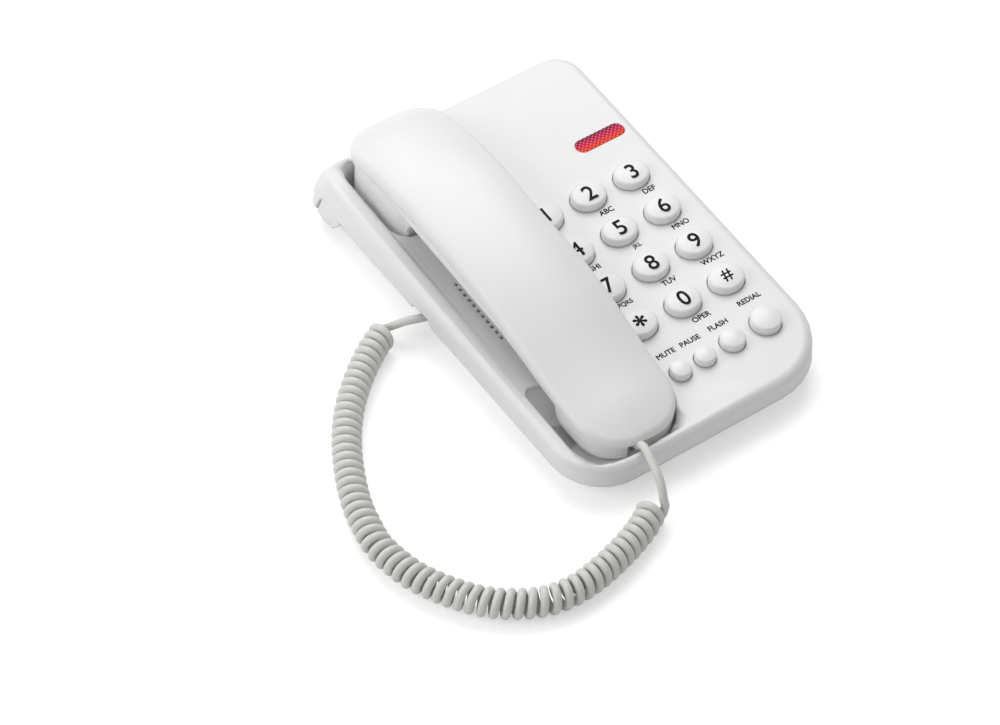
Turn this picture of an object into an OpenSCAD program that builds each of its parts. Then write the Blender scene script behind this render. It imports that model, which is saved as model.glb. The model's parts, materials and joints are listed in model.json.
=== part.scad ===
// Corded desk telephone. The handset lies in two wells along the left side of the base, and its curly cord
// lies on the table from the left wall round to the mouth end. Millimetres, +X right, +Y to the rear and
// +Z up. The origin is on the table, under the middle of the base. The deck frame has its X and Y along
// the sloping top of the base and its Z square to it, with zero on the surface.

/* [Base] */
// Width of the base
body_w = 131; // [129:1:140]
// Length of the base, from its front edge to the back of its heel
body_l = 208; // [207:1:216]
// Height of the deck at its front edge
front_z = 18.5; // [18:0.5:23]
// Slope of the deck, in degrees
tilt = 4.5; // [4:0.25:6]
// Wall of the base's two shells
wall = 2.5; // [2:0.1:2.7]
// Rounding of the deck's outer edge
edge_r = 4.5; // [3.5:0.25:6]
// How far the lower shell is set back under the upper one
setback = 7; // [5.5:0.5:8]
// How far the heel reaches behind the deck
heel_l = 8; // [7:0.5:9]

/* [Keys] */
// Distance from one number key to the next, both ways
key_pitch = 22.5; // [20.5:0.5:23]
// Length of a number key, left to right
key_l = 16.4; // [15:0.2:17.6]
// Width of a number key, front to rear
key_w = 13.8; // [12.6:0.2:15]
// Height of a key over the deck
key_rise = 2.5; // [2:0.1:3.5]
// Travel of a key
key_travel = 1.2; // [0.8:0.1:1.5]
// Distance from the base's right side to the last column of keys
key_edge = 19.75; // [17:0.25:19.75]
// Distance from the base's front edge to the last row of number keys
key_front = 55.65; // [54:0.25:58]
// Diameter of the redial key
redial_d = 13.4; // [12:0.2:14]
// Diameter of the flash key
flash_d = 10.8; // [9:0.2:11.4]
// Diameter of the pause key and the mute key
small_key_d = 9.1; // [8:0.1:10]

/* [Indicator] */
// Length of the lamp window
lens_l = 24; // [18:0.5:28]
// Width of the lamp window
lens_w = 6; // [5:0.25:8]

/* [Handset] */
// Length of the handset
hs_l = 195.7; // [194:0.1:196.5]
// Width of the handset
hs_w = 48; // [46:0.25:48.5]
// Wall of the handset's two shells
hs_wall = 2; // [1.6:0.1:2.2]
// Height of the handset's upper edge over the deck, at its highest
hs_top = 22.3; // [20:0.1:25]
// Radius of the arc that the handset's upper edge follows
hs_arc = 240; // [225:5:300]
// Crown of the handset's back over its edges
hs_crown = 3.5; // [2:0.25:5]
// Clearance between a lobe of the handset and its well
well_gap = 2; // [1.2:0.1:2.4]
// Depth of the ear lobe under the deck
ear_depth = 16; // [14:0.25:16.5]
// Depth of the mouth lobe under the deck
mouth_depth = 9; // [7:0.25:9.5]
// Depth of the trough under the grip
trough_depth = 4; // [3:0.25:5]

/* [Cord] */
// Diameter of the cord
cord_d = 3.6; // [3.2:0.1:3.8]
// Outer diameter of the curls
coil_d = 12.8; // [11.5:0.1:13.2]
// Number of curls
coil_turns = 58; // [50:1:60]

/* [Fits] */
// Gap round a key, the lamp window and other pieces that sit in an opening
play = 0.3; // [0.25:0.05:0.35]
// Radius of a screw's thread
screw_r = 1.5; // [1.2:0.1:1.6]

/* [Hidden] */
$fn = 48;

shell_white = [0.95, 0.95, 0.95];
key_white = [0.97, 0.97, 0.97];
cord_white = [0.9, 0.9, 0.89];
dark_grey = [0.25, 0.25, 0.27];

// ---- Base: main lines ----
front_y = -body_l / 2;
rear_y = body_l / 2;
left_x = -body_w / 2;
right_x = body_w / 2;
deck_z = front_z + rear_y * tan(tilt);
deck_rear = rear_y - heel_l;
corner_fl = 24;
corner_fr = 32;
corner_rr = 13;
corner_rl = 12;
heel_rl = 8;
floor_z = 2;
floor_t = 2.4;
floor_top = floor_z + floor_t;
heel_low = 4.7;

// The lower edge of the upper shell's wall, seen from the side
seam_front_z = front_z - 9.5;
seam_slope = 0.04;
knuckle_y = rear_y - 18;
knuckle_z = 13;
knuckle_r = 8;
notch_y = knuckle_y - 9;
seam_pitch = atan(seam_slope);
function seam_z(y) = seam_front_z + (y - front_y) * seam_slope;
function deck_at(y) = deck_z + y * tan(tilt);

// Puts its children in the deck frame
module deck() translate([0, 0, deck_z]) rotate([tilt, 0, 0]) children();

// Puts its children in a frame whose XY plane is the seam between the base's shells
module seam() translate([0, 0, seam_z(0)]) rotate([seam_pitch, 0, 0]) children();

function arc(c, r, a0, a1, n) =
    [for (i = [0:n - 1]) let (a = a0 + (a1 - a0) * i / (n - 1)) [c[0] + r * cos(a), c[1] + r * sin(a)]];

// A rectangle with its four corners rounded: front left, front right, rear right and rear left
function round_rect(x0, x1, y0, y1, r, n = 7) = concat(
    arc([x0 + r[0], y0 + r[0]], r[0], 180, 270, n), arc([x1 - r[1], y0 + r[1]], r[1], 270, 360, n),
    arc([x1 - r[2], y1 - r[2]], r[2], 0, 90, n), arc([x0 + r[3], y1 - r[3]], r[3], 90, 180, n));

// A stadium along X
function pill(l, w, n = 10) = concat(
    arc([(l - w) / 2, 0], w / 2, -90, 90, n), arc([-(l - w) / 2, 0], w / 2, 90, 270, n));

function oval(l, w, n = 36) = [for (i = [0:n - 1]) [l / 2 * cos(i * 360 / n), w / 2 * sin(i * 360 / n)]];

// One rounded corner of the base's outer form, set in by d
module corner_puck(r, d) {
    e = max(edge_r - d, 1);
    top = arc([r - d - e, -d - e], e, 0, 90, 5);
    rotate_extrude($fn = 32) polygon(concat([[0, -d - e - 1], [r - d, -d - e - 1]], top, [[0, -d]]));
}

// The heel's profile, turned round a rear corner
module heel_puck(r, d) {
    side = [[r - 5.7, heel_low], [r - 1.6, heel_low + 1.6], [r, heel_low + 5], [r - 0.9, heel_low + 12.8],
        [r - 4, heel_low + 20.7]];
    low = d > 0 ? -3 : heel_low;
    rotate_extrude($fn = 32)
        if (d > 0)
            polygon([[0, low], [r - d, low], [r - d, heel_low + 5], [r - 0.9 - d, heel_low + 12.8],
                [r - 4 - d, heel_low + 20.7], [0, heel_low + 20.7]]);
        else
            polygon(concat([[0, low]], side, [[0, heel_low + 20.7]]));
}

// The outer form of the base, set in by d. Set in, it is open downwards
module base_form(d = 0) {
    low = d > 0 ? -3 : heel_low;
    difference() {
        base_hull(d, low);
        deck() translate([-150, -150, -d - 0.02]) cube([300, 300, 20]);
    }
}

module base_hull(d, low) {
    hull() {
        deck() {
            translate([left_x + corner_fl, front_y + corner_fl, 0]) corner_puck(corner_fl, d);
            translate([right_x - corner_fr, front_y + corner_fr, 0]) corner_puck(corner_fr, d);
            translate([right_x - corner_rr, deck_rear - corner_rr, 0]) corner_puck(corner_rr, d);
            translate([left_x + corner_rl, deck_rear - corner_rl, 0]) corner_puck(corner_rl, d);
        }
        translate([left_x + corner_fl, front_y + corner_fl, low])
            cylinder(r = corner_fl - d, h = 1, $fn = 32);
        translate([right_x - corner_fr, front_y + corner_fr, low])
            cylinder(r = corner_fr - d, h = 1, $fn = 32);
        translate([right_x - corner_rr, rear_y - corner_rr, 0]) heel_puck(corner_rr, d);
        translate([left_x + heel_rl, rear_y - heel_rl, 0]) heel_puck(heel_rl, d);
    }
}

// Everything under the upper shell's lower edge: the seam, the arch over the foot knuckle and the heel's lip
module under_seam() {
    arch_from = 165;
    arch_to = 32;
    lip_y = rear_y - 5.7;
    outline = concat([[front_y - 5, -5], [front_y - 5, seam_z(front_y - 5)], [notch_y, seam_z(notch_y)]],
        arc([knuckle_y, knuckle_z], knuckle_r, arch_from, arch_to, 9), [[lip_y, heel_low + 1], [lip_y, -5]]);
    translate([left_x - 5, 0, 0]) rotate([90, 0, 90]) linear_extrude(body_w + 10) polygon(outline);
}

// ---- Handset: main lines, in the deck frame ----
hs_x = left_x + 35.5;
hs_front = front_y + 6.5;
hs_rear = hs_front + hs_l;
hs_half = hs_w / 2;
hs_nose_r = 20;
hs_tail_r = 17;
hs_peak = 19;
hs_grip_under = 6;
hs_nose_from = front_y + 58.2;
hs_mid = (hs_front + hs_rear) / 2;
parting_drop = 8.3;
ear_to = min(hs_rear - 6.7, deck_rear - 4.5);
ear_from = ear_to - 45;
mouth_to = hs_front + 37.5;

function drop(v) = hs_arc - sqrt(hs_arc * hs_arc - (v - hs_peak) * (v - hs_peak));
// Height of the handset's upper edge
function edge_h(v) = let (d = hs_nose_from - v) v > hs_nose_from ? hs_top - drop(v)
    : hs_top - drop(hs_nose_from) - 0.31 * d + 0.0028 * d * d;
// Height of the parting line between its shells
function part_h(v) = max(hs_top - parting_drop - 0.8 * (hs_top - edge_h(v)), min(edge_h(v) - 3.6, 1.3));
// Height of its underside between the lobes
function under_h(v) = max(min(part_h(v) - 5, hs_grip_under), -1.2);
// Height in the rounding between the underside and the parting line, which flattens towards both ends
function bowl_h(v, rise) = under_h(v) + rise * min((part_h(v) - under_h(v)) / 5, 1);

function pinch(x, v) = hs_x
    + (x - hs_x) * (1 - (v < hs_mid ? 0.06 : 0.02) * pow((v - hs_mid) / (hs_l / 2), 2));

// The handset's outline seen from above, set in by d, from the middle of the nose round by the right side
function hs_outline(d) = let (side = 6, v0 = hs_front + hs_nose_r, v1 = hs_rear - hs_tail_r) concat(
    arc([hs_x + hs_half - hs_nose_r, v0], hs_nose_r - d, -90, 0, 8),
    [for (i = [1:side]) [hs_x + hs_half - d, v0 + (v1 - v0) * i / (side + 1)]],
    arc([hs_x + hs_half - hs_tail_r, v1], hs_tail_r - d, 0, 90, 8),
    arc([hs_x - hs_half + hs_tail_r, v1], hs_tail_r - d, 90, 180, 8),
    [for (i = [1:side]) [hs_x - hs_half + d, v1 - (v1 - v0) * i / (side + 1)]],
    arc([hs_x - hs_half + hs_nose_r, v0], hs_nose_r - d, 180, 270, 8));

// One ring of the handset's skin: kind 0 follows the upper edge, 1 the parting line, 2 the underside
function level(kind, v) = kind == 0 ? edge_h(v) : kind == 1 ? part_h(v) : under_h(v);
function hs_ring(d, kind, rise) = [for (p = hs_outline(d))
    [pinch(p[0], p[1]), p[1], level(kind, p[1]) + rise]];
function bowl_ring(d, rise, lift) = [for (p = hs_outline(d))
    [pinch(p[0], p[1]), p[1], bowl_h(p[1], rise) + lift]];

// A ring drawn in towards the handset's middle line by the share f, and raised by the crown
function hs_inner_ring(d, kind, rise, crown, f) = [for (p = hs_outline(d))
    let (s = [hs_x, min(max(p[1], hs_front + 22), hs_rear - 18)],
        x = pinch(p[0], p[1]) * (1 - f) + s[0] * f,
        v = p[1] * (1 - f) + s[1] * f)
    [x, v, level(kind, v) + rise + crown * (1 - (1 - f) * (1 - f))]];

// A closed skin through rings of as many points each. The first and the last are closed straight across
module loft(rings) {
    n = len(rings[0]);
    m = len(rings);
    points = [for (r = rings) each r];
    sides = [for (k = [0:m - 2]) for (i = [0:n - 1]) let (a = k * n + i, b = k * n + (i + 1) % n)
        each [[a, b, a + n], [b, b + n, a + n]]];
    first = [for (i = [0:n / 2 - 2]) each [[i, n - 1 - i, i + 1], [i + 1, n - 1 - i, n - 2 - i]]];
    last = [for (i = [0:n / 2 - 2]) let (o = (m - 1) * n)
        each [[o + i, o + i + 1, o + n - 1 - i], [o + i + 1, o + n - 2 - i, o + n - 1 - i]]];
    polyhedron(points, concat(first, sides, last), convexity = 6);
}

// ---- Wells and trough of the base, in the deck frame ----
ear_well_depth = ear_depth + well_gap;
mouth_well_depth = mouth_depth + well_gap;
ear_half = hs_half - 0.8;
mouth_half = hs_half - 1.4;
ear_well = [hs_x - hs_half - well_gap - 0.5, hs_x + ear_half + 1.2, ear_from - well_gap - 0.3,
    min(ear_to + 1.5, deck_rear - wall - 0.5)];
mouth_well = [hs_x - hs_half - well_gap - 2.7, hs_x + mouth_half + well_gap / 2, hs_front - 2.3, mouth_to + 12];
ear_wall = 2.2;
mouth_wall = 1.5;

function ear_plan(grow) = round_rect(ear_well[0] - grow, ear_well[1] + grow, ear_well[2] - grow,
    ear_well[3] + grow, [for (r = [9, 9, 9, 9]) r + grow]);
// The mouth well's rear edge slants, to stay clear of the keys
function mouth_plan(grow) = let (w = mouth_well, a = 76.7, skew = 10.5) concat(
    arc([w[0] + 18, w[2] + 18], 18 + grow, 180, 270, 7), arc([w[1] - 22, w[2] + 22], 22 + grow, 270, 360, 8),
    arc([w[1] - 4, w[3] - skew - 4], 4 + grow, 0, a, 4), arc([w[0] + 4, w[3] - 4], 4 + grow, a, 180, 4));

module well_prism(outline, depth, top) {
    translate([0, 0, -depth]) linear_extrude(depth + top) polygon(outline);
}

// Under the nose the mouth well's floor rises, so that it stays over the lower edge of the base's front
// wall. To the rear it rises to the trough
module mouth_floor(drop) {
    low = -mouth_well_depth - drop;
    front = mouth_well[2];
    rear = mouth_well[3];
    rotate([90, 0, 90]) translate([0, 0, -100]) linear_extrude(200)
        polygon([[front - 10, low + 4.8], [front + 3, low + 4], [front + 9, low + 1.2], [front + 14, low],
            [mouth_to - 1, low], [rear + 1, -trough_depth - drop], [rear + 10, -trough_depth - drop],
            [rear + 10, 30], [front - 10, 30]]);
}

// Each well has two low ribs that the handset rests on
rest_gap = 0.3;
module rest_ribs() {
    for (side = [-1, 1]) {
        translate([hs_x + side * 13 - 2, hook_at[1] - 8, -ear_well_depth - 1])
            cube([4, 16, 1 + ear_well_depth - ear_depth - rest_gap]);
        translate([hs_x + side * 12 - 2, hs_front + 13.5, -mouth_well_depth - 1])
            cube([4, 12, 1 + mouth_well_depth - mouth_depth - rest_gap]);
    }
}

module ear_well_cut() well_prism(ear_plan(0), ear_well_depth, 20);
module mouth_well_cut() intersection() {
    well_prism(mouth_plan(0), mouth_well_depth, 20);
    mouth_floor(0);
}
module well_tubs() {
    well_prism(ear_plan(ear_wall), ear_well_depth + ear_wall, 0);
    intersection() {
        well_prism(mouth_plan(mouth_wall), mouth_well_depth + mouth_wall, 0);
        mouth_floor(mouth_wall);
    }
}

// The trough is a shallow hollow cylinder along the handset
trough_half = 27.5;
trough_x = hs_x - 6.5;
trough_r = (trough_half * trough_half + trough_depth * trough_depth) / (2 * trough_depth);
rim_w = 4.5;
module trough_tube(r) {
    rise = trough_r - trough_depth;
    translate([trough_x, front_y, rise]) rotate([-90, 0, 0])
        cylinder(r = r, h = body_l + 20, $fn = 96);
}
module trough_plan(grow) {
    outline = round_rect(left_x + 1.5 - grow, hs_x + 21 + grow, front_y + rim_w - grow, rear_y + 10,
        [corner_fl - 3 + grow, 6, 2, 2]);
    translate([0, 0, -20]) linear_extrude(40) polygon(outline);
}
module trough_cut() intersection() {
    trough_plan(0);
    trough_tube(trough_r);
}

// ---- Keypad, in the deck frame ----
key_cols = [right_x - key_edge - 2 * key_pitch, right_x - key_edge - key_pitch, right_x - key_edge];
key_row = front_y + key_front;
fn_row = key_row - 26.9;
// Name, place and diameter of the round keys
redial_at = [key_cols[2] + 0.85, fn_row + 0.75];
flash_at = [key_cols[1] + 5.35, fn_row - 0.25];
pause_at = [key_cols[1] - 9.35, fn_row - 1.05];
mute_at = [key_cols[0] + 0.35, fn_row - 1.45];
key_flange = 1;
flange_t = 1.4;
key_seat = wall + play;
dish_r = redial_d / 2 + 2.5;
dish_depth = 0.6;

function key_at(col, row) = [key_cols[col], key_row + row * key_pitch];

module at_keys() {
    for (col = [0:2]) for (row = [0:3]) translate(key_at(col, row)) children();
}
module round_key_holes(grow, depth, top) {
    spots = [[redial_at, redial_d], [flash_at, flash_d], [pause_at, small_key_d], [mute_at, small_key_d]];
    for (s = spots) translate([s[0][0], s[0][1], -depth]) cylinder(d = s[1] + 2 * grow, h = depth + top);
}

// ---- Lamp window, in the deck frame ----
lens_at = [right_x - 18, 44.1];
lens_sink = 0.5;
lens_flange = 1;

// ---- Ringer, in the deck frame ----
ringer_hole_r = 0.85;
ringer_pitch = 3.33;
ringer_at = [hs_x - 18.5, -3.5];
ringer_rows = 3;
ringer_speaker_at = [hs_x - 10, ringer_at[1] - 2.2];
ringer_h = 6;
ringer_d = 26;
ringer_top = -trough_depth - wall - 3.2;
ringer_ring_wall = 1.6;

// ---- Jack and plug of the curly cord in the left wall ----
jack_y = 14.5;
jack_z = 12;
jack_w = 11.6;
jack_h = 10;
jack_l = 14;
plug_w = 7.6;
plug_h = 6.6;
plug_l = 11;
plug_gap = 0.25;
jack_face_x = left_x + setback + 0.4;

// ---- Screws that join the base's shells ----
boss_z = 9;
boss_r = 3.2;
screws = [[4, front_y + 13.5], [right_x - 13.1, front_y + 41], [right_x - 13, deck_rear - 21.5],
    [3, deck_rear - 21.5], [left_x + 13.5, jack_y + 19]];
screw_bite = 5;
screw_head_r = 2.9;
screw_head_h = 1.8;
bore_gap = 0.1;

module top_bosses() {
    for (s = screws) translate([s[0], s[1], boss_z]) cylinder(r = boss_r, h = deck_z);
}

// ---- Board, in the deck frame ----
board_t = 1.6;
membrane_t = 1;
key_bottom = key_seat + flange_t;
dome_top = key_bottom + key_travel + 0.3;
dome_h = 1;
board_top = dome_top + dome_h + membrane_t + 0.1;
board_x0 = key_cols[0] - 3.6;
board_x1 = right_x - 10;
board_y0 = fn_row - 10.5;
board_y1 = deck_rear - 35;
board_posts = [[board_x0 + 4, board_y1 - 4], [board_x1 - 4, board_y1 - 4],
    [board_x1 - 2, key_row + key_pitch / 2], [key_cols[0] + 6.75, board_y0 + 2.7]];

module board_post_columns() {
    for (p = board_posts) translate([p[0], p[1], -board_top + 0.1]) cylinder(r = 2, h = board_top - wall / 2);
}

// ---- Hook plunger in the ear well, in the deck frame ----
hook_at = [hs_x, (ear_well[2] + ear_well[3]) / 2];
hook_l = 12;
hook_w = 8;
hook_travel = 2.5;
hook_head_top = -ear_depth - 0.3;
hook_flange_top = -ear_well_depth - ear_wall - play - hook_travel;
hook_flange_t = 1.2;

// ---- Hanger tab in the ear well's front wall, in the deck frame ----
tab_w = 10;
tab_t = 1.3;
tab_h = 9;
tab_low = -15;

// ---- Line jack in the heel ----
line_x = right_x - 43.5;
line_w = 12;
line_h = 11;
line_l = 13;
line_low = 8;

module top_housing() {
    color(shell_white) union() {
        top_shell();
        deck() difference() {
            rest_ribs();
            hook_opening();
        }
    }
}

module top_shell() {
    difference() {
        union() {
            difference() {
                base_form();
                base_form(wall);
                under_seam();
            }
            intersection() {
                base_form();
                union() {
                    deck() well_tubs();
                    deck() intersection() {
                        trough_plan(wall);
                        trough_tube(trough_r + wall);
                    }
                    top_bosses();
                    deck() board_post_columns();
                    deck() ringer_ring();
                }
            }
        }
        deck() {
            trough_cut();
            ear_well_cut();
            mouth_well_cut();
            at_keys() translate([0, 0, -10]) linear_extrude(20)
                polygon(oval(key_l + 2 * play, key_w + 2 * play));
            round_key_holes(play, 10, 10);
            translate([redial_at[0], redial_at[1], -dish_depth])
                cylinder(r1 = dish_r - 1, r2 = dish_r, h = 1.2);
            translate([lens_at[0], lens_at[1], -10]) linear_extrude(20)
                polygon(pill(lens_l + 2 * play, lens_w + 2 * play));
            ringer_holes();
            hook_opening();
            tab_slot();
        }
        for (s = screws) translate([s[0], s[1], boss_z - 1])
            cylinder(r = screw_r + bore_gap / 2, h = screw_bite + 1.5);
        jack_notch();
        translate([line_x - line_w / 2 - play, deck_rear - 6, line_low - play])
            cube([line_w + 2 * play, 30, line_h + 2 * play]);
    }
}

// The ring under the trough that holds the ringer
module ringer_ring() {
    translate([ringer_speaker_at[0], ringer_speaker_at[1], ringer_top - 1.5]) difference() {
        cylinder(d = ringer_d + 2 * (play + ringer_ring_wall), h = 8);
        translate([0, 0, -1]) cylinder(d = ringer_d + 2 * play, h = 10);
    }
}

module ringer_holes() {
    for (row = [0:ringer_rows - 1]) {
        count = 11 + row % 2;
        for (i = [0:count - 1])
            translate([ringer_at[0] + row * ringer_pitch,
                ringer_at[1] + (i - (count - 1) / 2) * ringer_pitch, -14])
                cylinder(r = ringer_hole_r, h = 20, $fn = 16);
    }
}

module hook_opening() {
    translate([hook_at[0] - hook_l / 2 - play, hook_at[1] - hook_w / 2 - play, -ear_well_depth - 10])
        cube([hook_l + 2 * play, hook_w + 2 * play, 20]);
}

module tab_slot() {
    translate([hs_x - tab_w / 2 - play, ear_well[2] - tab_t - play, tab_low - play])
        cube([tab_w + 2 * play, tab_t + play + 1, 30]);
}

// The notch in the left wall that lets the plug through
module jack_notch() {
    half = jack_w / 2 + 1.2;
    top = jack_z + 4.4;
    translate([left_x - 2, 0, 0]) rotate([90, 0, 90]) linear_extrude(setback + 3)
        polygon([[jack_y - half, 0], [jack_y + half, 0], [jack_y + half, top - 1.5], [jack_y + half - 3, top],
            [jack_y - half + 2, top], [jack_y - half, top - 2.5]]);
}

// The lower shell's outline, set in by d from the base's own
function tray(d) = round_rect(left_x + d, right_x - d, front_y + d, knuckle_y - 4,
    [corner_fl - d, corner_fr - d, 4, 4]);

// How far the front wall's inner face leans back over its foot
front_lean = body_l / 2 * (1 - cos(tilt)) + edge_r * sin(tilt);

knuckle_l = 17;
knuckle_step = 0.8;
keyhole_spacing = 85.7;
keyhole_head_r = 4.2;
keyhole_slot_r = 2.2;
keyhole_run = 8;
foot_r = 6;
foot_h = 2.5;
foot_sink = 0.5;
feet = [[left_x + 22, front_y + 22], [right_x - 25, front_y + 25], [right_x - 22, knuckle_y - 16],
    [left_x + 22, knuckle_y - 16]];

module bottom_housing() {
    color(shell_white) difference() {
        union() {
            difference() {
                translate([0, 0, floor_z]) linear_extrude(30) polygon(tray(setback));
                translate([0, 0, floor_top]) linear_extrude(40) polygon(tray(setback + wall));
                seam() translate([-100, -150, play + 2]) cube([200, 300, 40]);
            }
            seam() translate([0, 0, play]) linear_extrude(2) difference() {
                translate([0, front_lean]) polygon(tray(wall + play));
                polygon(tray(setback + 1));
            }
            foot_knuckle(right_x - knuckle_step - knuckle_l);
            foot_knuckle(left_x + knuckle_step);
            rear_shelf();
            for (s = screws) translate([s[0], s[1], floor_z])
                cylinder(r = boss_r, h = boss_z - 0.2 - floor_z);
            base_jack_seat();
        }
        for (s = screws) {
            translate([s[0], s[1], 0]) cylinder(r = screw_r + bore_gap, h = 20);
            translate([s[0], s[1], 0]) cylinder(r = screw_head_r + play, h = floor_top - 0.6);
        }
        for (f = feet) translate([f[0], f[1], 0]) cylinder(r = foot_r + 0.2, h = floor_z + foot_sink);
        for (s = [-1, 1]) translate([0, s * keyhole_spacing / 2, 0]) keyhole();
        base_jack_window();
        deck() {
            well_prism(ear_plan(ear_wall + play), ear_well_depth + ear_wall + play, 0);
            well_prism(mouth_plan(mouth_wall + play), mouth_well_depth + mouth_wall + play, 0);
        }
    }
}

module keyhole() {
    cylinder(r = keyhole_head_r, h = floor_top + 1);
    translate([-keyhole_slot_r, 0, 0]) cube([2 * keyhole_slot_r, keyhole_run, floor_top + 1]);
    translate([0, keyhole_run, 0]) cylinder(r = keyhole_slot_r, h = floor_top + 1);
}

// One of the two round knuckles under the heel. The upper shell's wall arches over it
module foot_knuckle(x) {
    r = knuckle_r - play;
    outline = concat(arc([knuckle_y, knuckle_z], r, 180, 35, 12),
        [[rear_y - 8, heel_low + 2.6], [rear_y - 12, heel_low + 1], [knuckle_y - 2, heel_low + 2]]);
    translate([x, 0, 0]) rotate([90, 0, 90]) linear_extrude(knuckle_l) polygon(outline);
}

// The floor between the knuckles, with the step that carries the line jack
module rear_shelf() {
    half = body_w / 2 - knuckle_step - knuckle_l + 1;
    translate([-half, knuckle_y - 6, line_low - floor_t]) cube([2 * half, 16, floor_t]);
}

module base_jack_seat() {
    translate([left_x + setback + 3, jack_y - jack_w / 2, floor_z])
        cube([jack_l - 4, jack_w, jack_z - jack_h / 2 - floor_z]);
}

module base_jack_window() {
    translate([left_x + setback - 6, jack_y - jack_w / 2 - play, jack_z - jack_h / 2])
        cube([10, jack_w + 2 * play, 20]);
}

module base_screws() {
    color("silver") for (s = screws) translate([s[0], s[1], floor_top - 0.6 - play - screw_head_h]) {
        cylinder(r = screw_head_r, h = screw_head_h);
        cylinder(r = screw_r, h = boss_z + screw_bite - (floor_top - 0.6 - play - screw_head_h));
    }
}

module rubber_feet() {
    color(dark_grey) for (f = feet) translate([f[0], f[1], 0]) rotate_extrude()
        polygon([[0, 0], [foot_r - 0.6, 0], [foot_r, 0.6], [foot_r, foot_h], [0, foot_h]]);
}

module main_board() {
    color("darkgreen") difference() {
        deck() translate([0, 0, -board_top - board_t]) linear_extrude(board_t)
            polygon([[board_x0, board_y0], [board_x1 - 12, board_y0], [board_x1, board_y0 + 12],
                [board_x1, board_y1], [board_x0, board_y1]]);
        for (s = screws) translate([s[0], s[1], 0]) cylinder(r = boss_r + 0.5, h = 40);
    }
}

module keypad_membrane() {
    x0 = key_cols[0] - key_l / 2 + 2.95;
    x1 = key_cols[2] + key_l / 2 - 2;
    y0 = mute_at[1] - small_key_d / 2 - 1;
    y1 = key_row + 3 * key_pitch + key_w / 2;
    color([0.75, 0.75, 0.75]) difference() {
        deck() {
            difference() {
                translate([x0, y0, -dome_top - dome_h - membrane_t]) cube([x1 - x0, y1 - y0, membrane_t]);
                for (p = board_posts) translate([p[0], p[1], -20]) cylinder(r = 2.6, h = 20);
            }
            at_keys() dome(4.5);
            for (p = [redial_at, flash_at, pause_at, mute_at]) translate(p) dome(3.2);
        }
        for (s = screws) translate([s[0], s[1], 0]) cylinder(r = boss_r + 0.5, h = 40);
    }
}

module dome(r) translate([0, 0, -dome_top - dome_h]) cylinder(r1 = r, r2 = r - 1.2, h = dome_h);

// A number key: an oval cap with a crowned top, on a flange under the deck
module number_key(p) {
    crown_r = 40;
    color(key_white) deck() translate([p[0], p[1], 0]) {
        intersection() {
            translate([0, 0, -key_seat - flange_t]) linear_extrude(key_seat + flange_t + key_rise + 1)
                polygon(oval(key_l, key_w));
            translate([0, 0, key_rise - crown_r]) sphere(r = crown_r, $fn = 96);
        }
        translate([0, 0, -key_seat - flange_t]) linear_extrude(flange_t)
            polygon(oval(key_l + 2 * key_flange, key_w + 2 * key_flange));
    }
}

// A round key, turned from its profile
module round_key(p, d) {
    r = d / 2;
    low = -key_seat - flange_t;
    color(key_white) deck() translate([p[0], p[1], 0]) rotate_extrude()
        polygon(concat([[0, low], [r + key_flange, low], [r + key_flange, -key_seat], [r, -key_seat]],
            arc([r - 1.2, key_rise - 1.8], 1.2, 0, 75, 5), [[r * 0.5, key_rise - 0.2], [0, key_rise]]));
}

module indicator_lens() {
    top = lens_sink;
    color([0.9, 0.1, 0.3]) deck() translate([lens_at[0], lens_at[1], 0]) {
        translate([0, 0, -key_seat]) linear_extrude(key_seat - top) polygon(pill(lens_l, lens_w));
        translate([0, 0, -key_seat - 1]) linear_extrude(1)
            polygon(pill(lens_l + 2 * lens_flange + 1, lens_w + 2 * lens_flange + 1));
    }
}

module indicator_led() {
    color([1, 0.3, 0.2]) deck() translate([lens_at[0], lens_at[1], -board_top]) {
        translate([-4, -2.5, 0]) cube([8, 5, 1.5]);
        translate([0, 0, 1.5]) cylinder(r = 2, h = board_top - key_seat - 1 - 1.5 - play);
    }
}

module hook_plunger() {
    color(key_white) deck() translate([hook_at[0], hook_at[1], 0]) {
        low = hook_flange_top;
        translate([-hook_l / 2, -hook_w / 2, low]) cube([hook_l, hook_w, hook_head_top - low]);
        translate([-hook_l / 2 - 1, -hook_w / 2 - 1, low - hook_flange_t])
            cube([hook_l + 2, hook_w + 2, hook_flange_t]);
    }
}

module hook_switch() {
    base = deck_at(hook_at[1]) + (hook_flange_top - hook_flange_t) / cos(tilt);
    height = base - floor_top - 1.2;
    color(dark_grey) translate([hook_at[0] - 4, hook_at[1] - 4, floor_top]) cube([8, 8, max(height, 1)]);
}

module hanger_tab() {
    color(shell_white) deck() translate([hs_x - tab_w / 2, ear_well[2] - tab_t, tab_low])
        cube([tab_w, tab_t, tab_h]);
}

module ringer_speaker() {
    color(dark_grey) deck() translate([ringer_speaker_at[0], ringer_speaker_at[1], ringer_top - ringer_h]) {
        cylinder(d = ringer_d, h = ringer_h);
        translate([0, 0, -1.5]) cylinder(d = ringer_d * 0.6, h = 2);
    }
}

// A modular jack whose mouth faces -X, with the middle of its face at the origin
module modular_jack(w, h, l, mouth_w, mouth_h, mouth_l) {
    difference() {
        translate([0, -w / 2, -h / 2]) cube([l, w, h]);
        translate([-1, -mouth_w / 2, -mouth_h / 2]) cube([mouth_l + 1, mouth_w, mouth_h]);
        translate([-1, -1.8, -h / 2 - 1]) cube([mouth_l - 2, 3.6, h / 2]);
    }
}

module base_jack() {
    color(dark_grey) translate([jack_face_x, jack_y, jack_z])
        modular_jack(jack_w, jack_h, jack_l, plug_w + 2 * plug_gap, plug_h + 2 * plug_gap, plug_l - 1);
}

module line_jack() {
    color(dark_grey) translate([line_x, knuckle_y - 3 + line_l, line_low + line_h / 2]) rotate([0, 0, -90])
        modular_jack(line_w, line_h - 2 * play, line_l, 9.8, 6.8, 9);
}

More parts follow.
